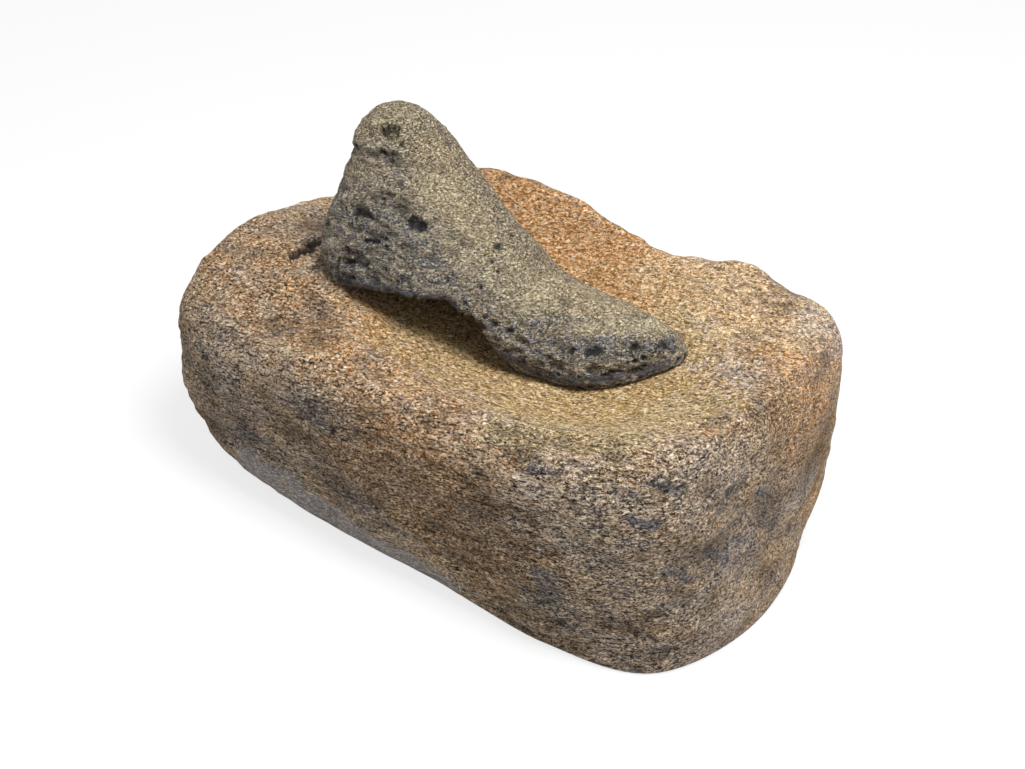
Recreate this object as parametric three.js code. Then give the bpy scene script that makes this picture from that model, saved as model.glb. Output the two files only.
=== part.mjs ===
// Basin metate: a boulder with an oval grinding basin worn into its top, and the boot-shaped hand stone, or
// mano, that lies in the basin and is pushed to and fro along it.
// Millimetres, +Z up. X runs along the boulder and Y across it, and Z = 0 is the flat face that it lies on.
import * as THREE from "three";

// Driving dimensions of the base stone
const stoneLength = 424;
const stoneWidth = 260;
const stoneHeight = 168;

// Driving dimensions of the basin: an oval dish, as deep as this below its own rim
const basinLength = 300;
const basinWidth = 190;
const basinDepth = 26;
// Depth of its lowest point under the highest point of the stone
const basinSink = 52;
// Radius over which the basin's rim is worn round
const rimRounding = 8;
// Where its lowest point lies along and across the stone, in shares of half the length and half the width
const basinPlaceShares = [0.132, -0.077];
// How far the dish leans towards the near long side, in degrees
const basinLean = 3.4;

// Driving dimensions of the mano
const manoLength = 238;
const manoWidth = 92;
const manoHeight = 135;
const crownRadius = 32;
const ankleRadius = 52;
const shinRadius = 33;
const instepRadius = 40;
const toeRadius = 28;
// The sole is an ellipse in section: wider and lower than round
const soleWidthShare = 1.2;
const soleHeightShare = 1;
// Radius over which leg and sole run into each other
const instepRounding = 34;
// Clearance under the mano, so that the two stones touch without sharing space
const restGap = 0.3;
// Radius over which the worn sole turns into the mano's sides
const soleRounding = 3;

// Ribs of the boulder, anticlockwise from its right far corner as seen from above. The belly is the widest
// place, the crest is the shoulder round the top and the foot is the edge of the underside. X and Y are
// shares of half the length and half the width, and Z is a share of the height.
const ribShares = [
  { belly: [0.95, 0.7, 0.7], crest: [0.9, 0.64, 0.9], foot: [0.84, 0.55] },
  { belly: [0.58, 0.97, 0.6], crest: [0.56, 0.77, 0.96], foot: [0.5, 0.64] },
  { belly: [0.26, 0.92, 0.57], crest: [0.25, 0.69, 0.94], foot: [0.26, 0.64] },
  { belly: [-0.06, 1, 0.58], crest: [-0.07, 0.77, 0.99], foot: [-0.02, 0.64] },
  { belly: [-0.52, 0.95, 0.58], crest: [-0.45, 0.78, 1], foot: [-0.38, 0.52] },
  { belly: [-0.92, 0.62, 0.62], crest: [-0.81, 0.52, 0.81], foot: [-0.61, 0.25] },
  { belly: [-1.03, -0.18, 0.65], crest: [-0.93, -0.14, 0.86], foot: [-0.68, -0.21] },
  { belly: [-0.91, -0.74, 0.52], crest: [-0.76, -0.6, 0.74], foot: [-0.57, -0.52] },
  { belly: [-0.43, -0.95, 0.45], crest: [-0.37, -0.75, 0.75], foot: [-0.3, -0.7] },
  { belly: [0.14, -0.98, 0.42], crest: [0.12, -0.78, 0.77], foot: [0.14, -0.75] },
  { belly: [0.61, -0.98, 0.4], crest: [0.57, -0.8, 0.81], foot: [0.58, -0.86] },
  { belly: [0.95, -0.75, 0.32], crest: [0.84, -0.66, 0.85], foot: [0.91, -0.75] },
  { belly: [1.03, -0.06, 0.27], crest: [0.9, -0.03, 0.88], foot: [1.02, -0.1] },
];
// Height of the unworn top over the middle of the stone
const crownHeightShare = 0.9;
// Exponent of the curves from foot to belly and from belly to crest: 1 is a quarter ellipse, less is squarer
const flankExponentShare = 0.8;

// Leg and sole of the mano, from the basin's lowest point: X in shares of its length, Y of its width and Z of
// its height
const legShares = { crown: [-0.485, 0.25], ankle: [-0.468, 0.152, 0.32] };
const shinShares = { top: [-0.4, 0.27, 0.6], bottom: [-0.16, 0.2, 0.33] };
const soleShares = { instep: [-0.27, 0.13, 0.17], toe: [0.318, 0.239, 0.09] };
// Line through the mano from crown to toe, bent towards this place
const bendShares = [-0.25, 0.22, 0.22];
// Flat faces that the mano was broken or worn to: a point on each, its outward direction, and its edge's
// rounding in shares of the width
const faceShares = [
  { at: [-0.44, -0.315, 0.258], out: [0, -1, 0.28], rounding: 0.09 },
  { at: [0.332, 0.043, 0.106], out: [0.77, -0.64, -0.1], rounding: 0.11 },
];
// Hollows under the arch between heel and sole: middle and half sizes
const archShares = [
  { middle: [-0.21, -0.326, 0], half: [0.188, 0.674, 0.26] },
  { middle: [-0.353, -0.348, 0.015], half: [0.235, 0.609, 0.182] },
];
const archRoundingShare = 0.11;

// Broad lumps left by weathering and pecking: distance between the broadest, and their height
const stoneLumpSpacing = 110;
const stoneLumpHeight = 4;
const manoLumpSpacing = 44;
const manoLumpHeight = 1.6;
// Each finer set of lumps has half the spacing of the set before it, and this share of its height
const finerLumpShare = 0.55;
// Height above the ground by which the boulder's lumps have grown in, so that the underside stays flat
const lumpFreeHeight = 25;

// Seeds of the sets of lumps, from the broadest to the finest
const stoneLumpSeeds = [1, 2, 3];
const manoLumpSeeds = [5, 6];
// How far each seed moves its lattice, in shares of a cell, so that the corners of two sets don't coincide
const seedShiftShare = 7.3;

// Counts of faces, and of the steps in which a point on a surface is found
const stoneFaceCounts = { around: 76, flank: 12, shoulder: 11, top: 24 };
const manoFaceCounts = { around: 48, along: 54 };
const basinRoundCount = 6;
const manoStrideCount = 60;
const manoHalvingCount = 12;

// Past this share of its radius from its centre, an arc of the basin goes on level instead of turning upright
const brinkShare = 0.95;
// Of the rings along the mano, the share at each end whose rays turn outwards, and that whose rays start at
// the spine's end
const fanShares = { turning: 0.2, gathered: 0.12 };

// Large odd multipliers of an integer hash
const hashFactors = [374761393, 668265263, 2147483647, 1274126177];

// A whole number between 0 and 2^32 that depends on a lattice corner and a seed only
function cornerHash(x, y, z, seed) {
  const terms = [x, y, z, seed].map((value, place) => Math.imul(value, hashFactors[place]));
  const sum = terms.reduce((total, term) => total + term, 0);
  const mixed = Math.imul(sum ^ (sum >>> 13), hashFactors[3]);
  return (mixed ^ (mixed >>> 16)) >>> 0;
}

// Gradient noise on a unit lattice, about -0.5 to 0.5
function noise(point, seed) {
  const corner = point.clone().floor();
  const inside = point.clone().sub(corner);
  const fade = (t) => t * t * t * (t * (t * 6 - 15) + 10);
  let total = 0;
  for (const i of [0, 1])
    for (const j of [0, 1])
      for (const k of [0, 1]) {
        const hash = cornerHash(corner.x + i, corner.y + j, corner.z + k, seed);
        const turn = ((hash & 0xffff) / 0x10000) * 2 * Math.PI;
        const rise = ((hash >>> 16) & 0xffff) / 0x8000 - 1;
        const flat = Math.sqrt(Math.max(0, 1 - rise * rise));
        const slope = new THREE.Vector3(flat * Math.cos(turn), flat * Math.sin(turn), rise);
        const away = inside.clone().sub(new THREE.Vector3(i, j, k));
        const weight =
          (i ? fade(inside.x) : 1 - fade(inside.x)) *
          (j ? fade(inside.y) : 1 - fade(inside.y)) *
          (k ? fade(inside.z) : 1 - fade(inside.z));
        total += weight * slope.dot(away);
      }
  return total;
}

// Height of the lumps at a point, over all their sets
function lumpHeight(point, spacing, height, seeds) {
  return seeds.reduce((total, seed, set) => {
    const place = point.clone().multiplyScalar(2 ** set / spacing).addScalar(seed * seedShiftShare);
    return total + 2 * height * finerLumpShare ** set * noise(place, seed);
  }, 0);
}

// Smaller of two values, with the corner between them rounded over a width
function softMin(a, b, width) {
  const share = THREE.MathUtils.clamp(0.5 + (0.5 * (b - a)) / width, 0, 1);
  return b * (1 - share) + a * share - width * share * (1 - share);
}

const softMax = (a, b, width) => -softMin(-a, -b, width);

// Radius of the circle through the ends and the middle of an arc of this chord and depth
const arcRadius = (chord, depth) => (chord * chord) / 4 / (2 * depth) + depth / 2;

// The basin is a surface of revolution about a level axis across the stone, at the centre of its long
// profile. So the mano can swing to and fro about that axis with the same clearance all the way.
const basin = {
  floor: new THREE.Vector3(
    (basinPlaceShares[0] * stoneLength) / 2,
    (basinPlaceShares[1] * stoneWidth) / 2,
    stoneHeight - basinSink,
  ),
  longRadius: arcRadius(basinLength, basinDepth),
  crossRadius: arcRadius(basinWidth, basinDepth),
  lean: THREE.MathUtils.degToRad(basinLean),
};
basin.up = new THREE.Vector3(0, -Math.sin(basin.lean), Math.cos(basin.lean));
basin.across = new THREE.Vector3(0, Math.cos(basin.lean), Math.sin(basin.lean));
basin.pivot = basin.floor.clone().addScaledVector(basin.up, basin.longRadius);

// How far an arc of this radius lies from its centre, at a distance to the side of it
function arcDrop(radius, aside) {
  const within = Math.min(Math.abs(aside), brinkShare * radius);
  return Math.sqrt(radius ** 2 - within ** 2);
}

// Radius of the basin's surface round its axis, at a distance along the axis from the pivot
function basinRadius(offset) {
  return basin.longRadius - basin.crossRadius + arcDrop(basin.crossRadius, offset);
}

// Distance from a point in the basin's air to its surface
function basinRoom(point) {
  const from = point.clone().sub(basin.pivot);
  const offset = from.dot(basin.across);
  return basinRadius(offset) - Math.hypot(from.x, from.dot(basin.up));
}

// Height of the basin's surface at a place in plan
function basinHeight(x, y) {
  const fromX = x - basin.pivot.x;
  const fromY = y - basin.pivot.y;
  let fromZ = -basin.longRadius;
  for (let round = 0; round < basinRoundCount; round++) {
    const radius = basinRadius(fromY * basin.across.y + fromZ * basin.across.z);
    fromZ = (-arcDrop(radius, fromX) - fromY * basin.up.y) / basin.up.z;
  }
  return basin.pivot.z + fromZ;
}

// Closed surface over rings of points, with a pole before the first and after the last
function ringSurface(firstPole, rings, lastPole) {
  const around = rings[0].length;
  const points = [firstPole, ...rings.flat(), lastPole];
  const corner = (ring, step) => 1 + ring * around + (step % around);
  const faces = [];
  for (let step = 0; step < around; step++) {
    faces.push(0, corner(0, step + 1), corner(0, step));
    faces.push(points.length - 1, corner(rings.length - 1, step), corner(rings.length - 1, step + 1));
    for (let ring = 0; ring < rings.length - 1; ring++) {
      const [a, b] = [corner(ring, step), corner(ring, step + 1)];
      const [c, d] = [corner(ring + 1, step + 1), corner(ring + 1, step)];
      faces.push(a, b, c, a, c, d);
    }
  }
  const surface = new THREE.BufferGeometry().setFromPoints(points);
  surface.setIndex(faces);
  surface.computeVertexNormals();
  return surface;
}

// Boulder

// Closed smooth curve through one place of each rib
function ribCurve(place) {
  const points = ribShares.map((rib) => {
    const [x, y, z = 0] = rib[place];
    return new THREE.Vector3((x * stoneLength) / 2, (y * stoneWidth) / 2, z * stoneHeight);
  });
  return new THREE.CatmullRomCurve3(points, true, "catmullrom", 0.5);
}

// Rings of the smooth boulder from the foot up to the middle of its top
function boulderRings() {
  const [belly, crest, foot] = ["belly", "crest", "foot"].map(ribCurve);
  const middle = new THREE.Vector3(0, 0, crownHeightShare * stoneHeight);
  const { around, flank, shoulder, top } = stoneFaceCounts;
  const steps = Array.from({ length: around }, (_, step) => step / around);
  const quarter = (count) => Array.from({ length: count }, (_, row) => (row / count) * (Math.PI / 2));
  const power = (value) => value ** flankExponentShare;
  const ring = (place) =>
    steps.map((share) => place(belly.getPoint(share), crest.getPoint(share), foot.getPoint(share)));

  const flankRings = quarter(flank).map((angle) =>
    ring((b, c, f) => {
      const point = f.clone().lerp(b, power(Math.sin(angle)));
      return point.setZ(b.z * (1 - power(Math.cos(angle))));
    }),
  );
  const shoulderRings = quarter(shoulder).map((angle) =>
    ring((b, c) => {
      const point = c.clone().lerp(b, power(Math.cos(angle)));
      return point.setZ(b.z + (c.z - b.z) * power(Math.sin(angle)));
    }),
  );
  const topRings = Array.from({ length: top }, (_, row) => row / top).map((share) =>
    ring((b, c) => {
      const point = c.clone().lerp(middle, share);
      return point.setZ(c.z + (middle.z - c.z) * THREE.MathUtils.smoothstep(share, 0, 1));
    }),
  );
  return { rings: [...flankRings, ...shoulderRings, ...topRings], middle };
}

function baseStone() {
  const { rings, middle } = boulderRings();
  const smooth = ringSurface(new THREE.Vector3(), rings, middle);
  const normals = smooth.getAttribute("normal");
  const outward = (index) => new THREE.Vector3().fromBufferAttribute(normals, index);
  const weathered = (point, index) => {
    const grown = THREE.MathUtils.clamp(point.z / lumpFreeHeight, 0, 1);
    const lump = lumpHeight(point, stoneLumpSpacing, stoneLumpHeight, stoneLumpSeeds);
    const rough = point.clone().addScaledVector(outward(index), grown * lump);
    return rough.setZ(softMin(rough.z, basinHeight(rough.x, rough.y), rimRounding));
  };
  const number = (row, step) => 1 + row * stoneFaceCounts.around + step;
  const carved = rings.map((ring, row) => ring.map((point, step) => weathered(point, number(row, step))));
  return ringSurface(new THREE.Vector3(), carved, weathered(middle, number(rings.length, 0)));
}

// Mano

// A place on the mano, from shares of its length, width and height, from the lowest point of the basin
const manoPlace = ([x, y, z]) =>
  new THREE.Vector3(x * manoLength, y * manoWidth, z * manoHeight).add(basin.floor);

// Distance from a cone with round ends, in a space squashed by width and height shares
function roundCone(point, from, to, fromRadius, toRadius, squash) {
  const start = from.clone().divide(squash);
  const reach = to.clone().divide(squash).sub(start);
  const place = point.clone().divide(squash).sub(start);
  const share = THREE.MathUtils.clamp(place.dot(reach) / reach.lengthSq(), 0, 1);
  return place.addScaledVector(reach, -share).length() - THREE.MathUtils.lerp(fromRadius, toRadius, share);
}

const mano = {
  crown: manoPlace([...legShares.crown, (manoHeight - crownRadius) / manoHeight]),
  ankle: manoPlace(legShares.ankle),
  shinTop: manoPlace(shinShares.top),
  shinBottom: manoPlace(shinShares.bottom),
  instep: manoPlace(soleShares.instep),
  toe: manoPlace(soleShares.toe),
  faces: faceShares.map(({ at, out, rounding }) => ({
    at: manoPlace(at),
    out: new THREE.Vector3(...out).normalize(),
    rounding: rounding * manoWidth,
  })),
  arches: archShares.map(({ middle, half }) => ({
    middle: manoPlace(middle),
    half: new THREE.Vector3(half[0] * manoLength, half[1] * manoWidth, half[2] * manoHeight),
  })),
};
mano.spine = new THREE.QuadraticBezierCurve3(mano.crown, manoPlace(bendShares), mano.toe);
const upright = new THREE.Vector3(1, 1, 1);
const flattened = new THREE.Vector3(1, soleWidthShare, soleHeightShare);

// Below zero inside the mano and above zero outside it, about a distance near the surface
function manoField(point) {
  const leg = roundCone(point, mano.crown, mano.ankle, crownRadius, ankleRadius, upright);
  const sole = roundCone(point, mano.instep, mano.toe, instepRadius, toeRadius, flattened);
  const shin = roundCone(point, mano.shinTop, mano.shinBottom, shinRadius, shinRadius, upright);
  let field = softMin(softMin(leg, sole, instepRounding), shin, instepRounding / 2);
  for (const { at, out, rounding } of mano.faces)
    field = softMax(field, point.clone().sub(at).dot(out), rounding);
  for (const { middle, half } of mano.arches) {
    const inside = 1 - point.clone().sub(middle).divide(half).length();
    const depth = inside * Math.min(half.x, half.y, half.z);
    field = softMax(field, depth, archRoundingShare * manoWidth);
  }
  field -= lumpHeight(point, manoLumpSpacing, manoLumpHeight, manoLumpSeeds);
  return softMax(field, restGap - basinRoom(point), soleRounding);
}

// Where a ray from inside the mano first leaves it
function manoSurface(from, direction) {
  const reach = manoLength / 2;
  const stride = reach / manoStrideCount;
  const at = (distance) => from.clone().addScaledVector(direction, distance);
  let outside = stride;
  while (outside < reach && manoField(at(outside)) < 0) outside += stride;
  let inside = outside - stride;
  for (let halving = 0; halving < manoHalvingCount; halving++) {
    const middle = (inside + outside) / 2;
    if (manoField(at(middle)) < 0) inside = middle;
    else outside = middle;
  }
  return at((inside + outside) / 2);
}

// Rays leave the spine square to it, and fan out over the crown and the toe
function handStone() {
  const { around, along } = manoFaceCounts;
  const { turning, gathered } = fanShares;
  const ray = (share, turn) => {
    const run = THREE.MathUtils.clamp((share - gathered) / (1 - 2 * gathered), 0, 1);
    const forward = mano.spine.getTangent(run);
    const side = new THREE.Vector3(0, 1, 0);
    side.addScaledVector(forward, -forward.y).normalize();
    const over = forward.clone().cross(side);
    const fanned = Math.max(0, 1 - (1 - share) / turning) - Math.max(0, 1 - share / turning);
    const tilt = (Math.PI / 2) * fanned;
    const direction = side.multiplyScalar(Math.cos(turn)).addScaledVector(over, Math.sin(turn));
    direction.multiplyScalar(Math.cos(tilt)).addScaledVector(forward, Math.sin(tilt));
    return manoSurface(mano.spine.getPoint(run), direction);
  };
  const rings = Array.from({ length: along - 1 }, (_, row) =>
    Array.from({ length: around }, (_, step) => ray((row + 1) / along, (step / around) * 2 * Math.PI)),
  );
  return ringSurface(ray(0, 0), rings, ray(1, 0));
}

// Assembly

const metate = new THREE.Group();
// The mano's stroke is a swing about the basin's axis, and a positive turn carries it towards the right
metate.userData.stroke = { pivot: basin.pivot, axis: basin.across.clone().negate() };

function addStone(name, geometry, color) {
  const material = new THREE.MeshStandardMaterial({ color, roughness: 0.92, metalness: 0 });
  const stone = new THREE.Mesh(geometry, material);
  stone.name = name;
  metate.add(stone);
}

addStone("metate_base", baseStone(), 0x9c7a52);
addStone("mano", handStone(), 0x77706a);

export default metate;
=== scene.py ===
"""Looks of a basin metate: a boulder with an oval basin worn into its top, and the mano that lies in it.

Both stones are numpy surfaces. They follow the formulas of the solids that they replace on a finer grid,
and add the pits, nicks and roughness that show from a step away. Lengths are metres unless a field says
millimetres, Z is up and X runs along the boulder.
"""

import logging
import math
from collections.abc import Callable
from dataclasses import dataclass, field
from enum import Enum
from functools import partial
from typing import Any

import bpy
import numpy as np
from mathutils import Matrix, Vector


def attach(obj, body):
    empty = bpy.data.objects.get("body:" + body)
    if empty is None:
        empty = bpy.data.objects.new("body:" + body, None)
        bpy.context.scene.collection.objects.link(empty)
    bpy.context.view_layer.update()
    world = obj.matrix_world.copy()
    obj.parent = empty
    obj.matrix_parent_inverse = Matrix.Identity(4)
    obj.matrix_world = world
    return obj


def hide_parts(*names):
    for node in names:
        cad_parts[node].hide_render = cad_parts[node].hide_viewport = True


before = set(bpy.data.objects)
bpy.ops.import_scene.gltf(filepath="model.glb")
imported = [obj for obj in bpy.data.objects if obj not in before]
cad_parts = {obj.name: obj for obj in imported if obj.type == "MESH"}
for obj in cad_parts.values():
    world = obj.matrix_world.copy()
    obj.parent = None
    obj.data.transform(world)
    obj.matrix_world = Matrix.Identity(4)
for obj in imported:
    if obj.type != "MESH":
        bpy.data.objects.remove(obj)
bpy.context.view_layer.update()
LOG = logging.getLogger("metate")
MM = 0.001
TINY = 1e-12

Array = np.ndarray
Pair = tuple[float, float]
Triple = tuple[float, float, float]
Adder = Callable[..., Any]


# Curves and blends

@dataclass(frozen=True)
class Fade:
    """A smooth rise from 0 at low to the peak at high, level at both ends; low may be the larger one."""

    low: float
    high: float
    peak: float = 1.0

    def of(self, values: Array) -> Array:
        """The peak times s s (3 - 2 s), where s is how far the values have come from low to high."""
        share = np.clip((values - self.low) / (self.high - self.low), 0, 1)
        return self.peak * (share * share * (3 - 2 * share))


def soft_min(first: Array, second: Array, width: float) -> Array:
    """The smaller of two values, with the corner between them rounded over a width.

    Args:
        first: One value at each point.
        second: The other value at each point.
        width: Difference of the two within which they blend.

    Returns:
        The smaller value, lower by up to a quarter of the width where both are alike.
    """
    share = np.clip(0.5 + 0.5 * (second - first) / width, 0, 1)
    return second * (1 - share) + first * share - width * share * (1 - share)


def soft_max(first: Array, second: Array, width: float) -> Array:
    """The larger of two values, with the corner between them rounded over a width."""
    return -soft_min(-first, -second, width)


def arc_radius(chord: float, depth: float) -> float:
    """Radius of the circle through an arc's ends and middle: chord squared over 8 depths, plus depth / 2."""
    return chord * chord / (8 * depth) + depth / 2


def closed_curve(points: Array, shares: Array) -> Array:
    """Places on a smooth closed curve through some points.

    Between two neighbours the curve is the cubic whose slope at each is half the step from the point
    before it to the point after it.

    Args:
        points: Corners of the curve, one row each.
        shares: Where to read the curve, from 0 at the first corner to 1 back at it.

    Returns:
        One row for each share.
    """
    reach = shares * len(points)
    start = np.floor(reach).astype(int)
    step = (reach - start)[:, None]
    before, here, after, beyond = (points[(start + shift) % len(points)] for shift in (-1, 0, 1, 2))
    leave, arrive = (after - before) / 2, (beyond - here) / 2
    square, cube = step**2, step**3
    return (
        here + leave * step
        + (3 * (after - here) - 2 * leave - arrive) * square
        + (2 * (here - after) + leave + arrive) * cube
    )


# Noise

HASH_FACTORS = (374761393, 668265263, 2147483647, 1274126177)
HASH_MASK = 0xFFFFFFFF
SEED_SHIFT = 7.3


def corner_hash(corner: Array, seed: int) -> Array:
    """A whole number up to 2^32 for each lattice corner: products with large factors, summed and mixed.

    Args:
        corner: Whole numbers of the corners along three axes.
        seed: Number of the lattice.

    Returns:
        One number for each corner.
    """
    total = (corner * np.array(HASH_FACTORS[:3])).sum(-1) + seed * HASH_FACTORS[3]
    total &= HASH_MASK
    mixed = ((total ^ (total >> 13)) * HASH_FACTORS[3]) & HASH_MASK
    return mixed ^ (mixed >> 16)


def fraction(number: Array, skipped: int, bits: int) -> Array:
    """Some bits of a whole number, after the lowest ones that are skipped, as a fraction from 0 to 1."""
    return ((number >> skipped) & ((1 << bits) - 1)) / (1 << bits)


def gradient_noise(places: Array, seed: int) -> Array:
    """Gradient noise on a unit lattice, about -0.5 to 0.5.

    Each of the eight corners round a point has a random direction. The value is the blend, by quintic
    fades, of how far the point lies from each corner along that corner's direction.

    Args:
        places: Points, in lattice cells.
        seed: Number of the lattice.

    Returns:
        One value for each point.
    """
    floor = np.floor(places)
    corner, inside = floor.astype(np.int64), places - floor
    fade = inside**3 * (inside * (inside * 6 - 15) + 10)
    total = np.zeros(places.shape[:-1])
    for offset in np.ndindex(2, 2, 2):
        hashed = corner_hash(corner + offset, seed)
        turn = fraction(hashed, 0, 16) * 2 * math.pi
        rise = 2 * fraction(hashed, 16, 16) - 1
        level = np.sqrt(np.maximum(0, 1 - rise**2))
        away = inside - offset
        slope = level * np.cos(turn) * away[..., 0] + level * np.sin(turn) * away[..., 1]
        total += (slope + rise * away[..., 2]) * np.where(offset, fade, 1 - fade).prod(-1)
    return total


@dataclass(frozen=True)
class Lumps:
    """Lumps in sets of gradient noise, each set with half the spacing of the one before it.

    Attributes:
        spacing: Distance between the broadest lumps, in mm.
        height: Height of the broadest lumps, in mm.
        seeds: Lattice number of each set.
        finer: Height of each set as a share of the one before it.
        squeeze: How much closer together the lumps lie along X, Y and Z than the spacing says.
    """

    spacing: float
    height: float
    seeds: tuple[int, ...]
    finer: float = 0.55
    squeeze: Triple = (1, 1, 1)

    def at(self, points: Array) -> Array:
        """Sum over the sets of twice the height times the noise at the point, counted in spacings.

        Args:
            points: Points on the stone's surface.

        Returns:
            The height of the lumps at each point.
        """
        total = np.zeros(points.shape[:-1])
        for number, seed in enumerate(self.seeds):
            places = points * np.array(self.squeeze) * (2**number / (self.spacing * MM)) + seed * SEED_SHIFT
            total += 2 * self.height * MM * self.finer**number * gradient_noise(places, seed)
        return total


@dataclass(frozen=True)
class Bowls:
    """Round hollows strewn through a stone, at most one in each cell of a lattice.

    Small deep ones are the gas bubbles of a lava. Wide shallow ones that run into one another are the
    scars of pecking and weathering.

    Attributes:
        spacing: Size of a cell, in mm.
        radii: Smallest and largest radius of a bowl, in mm.
        share: Share of the cells that hold one.
        seed: Number of the lattice.
        steep: Depth of a bowl whose middle lies on the surface, as a share of its radius.
        squeeze: How much narrower the bowls are along X, Y and Z than their radius says.
    """

    spacing: float
    radii: Pair
    share: float
    seed: int
    steep: float = 0.8
    squeeze: Triple = (1, 1, 1)

    def depth(self, points: Array) -> Array:
        """Depth of the bowls at some points, 0 outside them.

        A bowl is as deep as its steepness times its radius times (1 - distance squared / radius squared),
        where that is above 0. Of the bowls in the 27 cells round a point, the deepest counts.

        Args:
            points: Points on the stone's surface.

        Returns:
            One depth for each point.
        """
        points = points * np.array(self.squeeze)
        spacing = self.spacing * MM
        smallest, largest = (radius * MM for radius in self.radii)
        cells = np.floor(points / spacing).astype(np.int64)
        deepest = np.zeros(points.shape[:-1])
        for offset in np.ndindex(3, 3, 3):
            corner = cells + offset - 1
            first, second = corner_hash(corner, self.seed), corner_hash(corner, self.seed + 1)
            inside = np.stack([fraction(first, skipped, 10) for skipped in (0, 10, 20)], -1)
            size, chance = fraction(second, 0, 10), fraction(second, 10, 10)
            centre = (corner + inside) * spacing
            radius = smallest + (largest - smallest) * size**2
            bowl = 1 - ((points - centre) ** 2).sum(-1) / radius**2
            deepest = np.maximum(deepest, np.where(chance < self.share, self.steep * radius * bowl, 0))
        return deepest


def add_object(name: str, data: Any) -> bpy.types.Object:
    """Puts a mesh, a lamp or a camera into the scene.

    Args:
        name: Name of the object.
        data: The mesh, lamp or camera.

    Returns:
        The object, at the origin.
    """
    made = bpy.data.objects.new(name, data)
    bpy.context.scene.collection.objects.link(made)
    return made


# The view that the photograph was taken from

@dataclass(frozen=True)
class PhotoView:
    """Camera of the photograph: where it stands, and where each point of the stones shows in its picture."""

    picture: tuple[int, int] = (1025, 769)
    azimuth: float = 37
    elevation: float = 33
    distance: float = 1.290
    lens: float = 70
    sensor: float = 36
    target: Triple = (0.020, -0.012, 0.080)
    nearest_seen: float = 0.05
    # How far the picture's middle is moved right and down, in pixels
    moved: Pair = (-3, 18)

    def axes(self) -> tuple[Array, Array, Array]:
        """Axes of the camera, from its bearing and its height above level.

        Returns:
            The directions to the right of the picture, up it, and back towards the camera.
        """
        turn, rise = math.radians(self.azimuth), math.radians(self.elevation)
        level = math.cos(rise)
        back = np.array([math.sin(turn) * level, -math.cos(turn) * level, math.sin(rise)])
        right = np.array([math.cos(turn), math.sin(turn), 0])
        return right, np.cross(back, right), back

    def eye(self) -> Array:
        """Place of the camera."""
        return np.array(self.target) + self.distance * self.axes()[2]

    def pixels(self, points: Array) -> tuple[Array, Array]:
        """Where points show in the picture.

        The pixel is the middle of the picture plus the focal length times sideways over depth.

        Args:
            points: Points in the frame.

        Returns:
            The pixel of each point, counted right and down, and its depth before the camera.
        """
        right, up, back = self.axes()
        seen = points - self.eye()
        depth = -(seen @ back)
        focal = self.picture[0] * self.lens / self.sensor
        across = self.picture[0] / 2 + self.moved[0] + focal * (seen @ right) / depth
        down = self.picture[1] / 2 + self.moved[1] - focal * (seen @ up) / depth
        return np.stack([across, down], -1), depth

    def shoot(self) -> None:
        """Makes the scene's camera."""
        lens = bpy.data.cameras.new("photo_camera")
        lens.lens, lens.sensor_width, lens.clip_start = self.lens, self.sensor, self.nearest_seen
        lens.shift_x, lens.shift_y = -self.moved[0] / self.picture[0], self.moved[1] / self.picture[0]
        camera = add_object("photo_camera", lens)
        turned = np.eye(4)
        turned[:3] = np.column_stack([*self.axes(), self.eye()])
        camera.matrix_world = Matrix(turned.tolist())
        bpy.context.scene.camera = camera


# Surfaces of stone

class Tone(Enum):
    """What the material reads at each point of a stone. Each is an attribute of its mesh."""

    SLATE = "slate"
    UMBER = "umber"
    RUST = "rust"
    OCHRE = "ochre"
    BARE = "bare"
    PALE = "pale"
    WORN = "worn"
    HANDLED = "handled"
    HOLLOW = "hollow"
    CALM = "calm"
    VEIL = "veil"


@dataclass(frozen=True)
class Mark:
    """A place on a stone, found from the pixels that it shows at.

    Attributes:
        path: Pixels of the photograph that its middle line runs through, as x, y, x, y and so on.
        across: Its width along the picture, in mm.
        high: Its height up the picture, measured on the stone, in mm.
    """

    path: tuple[float, ...]
    across: float
    high: float


@dataclass(frozen=True)
class Pit(Mark):
    """A hollow, with its depth in mm."""

    depth: float


@dataclass(frozen=True)
class Stain(Mark):
    """A patch of another tone, and the share of the stone that it covers in its middle, less at its edge."""

    cover: float
    tone: Tone


def stains_of(tone: Tone, *rows: tuple[tuple[float, ...], float, float, float]) -> tuple[Stain, ...]:
    """Stains of one tone, from rows of path, width, height and cover."""
    return tuple(Stain(*row, tone) for row in rows)


# Noise that makes a mark's edge uneven: its lumps per half size of the mark, and how much they change the
# distance. From MARK_REACH half sizes on, no such change brings a point into the mark.
MARK_LUMPS = ((1.3, 0.6), (3.3, 0.45))
MARK_REACH = 4
PIT_ROUNDNESS = 0.7
STAIN_EDGE = Fade(0, 0.8)
# How far off a pixel a point may show and still be a place that shows there
PIXEL_REACH = 3.0


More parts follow.
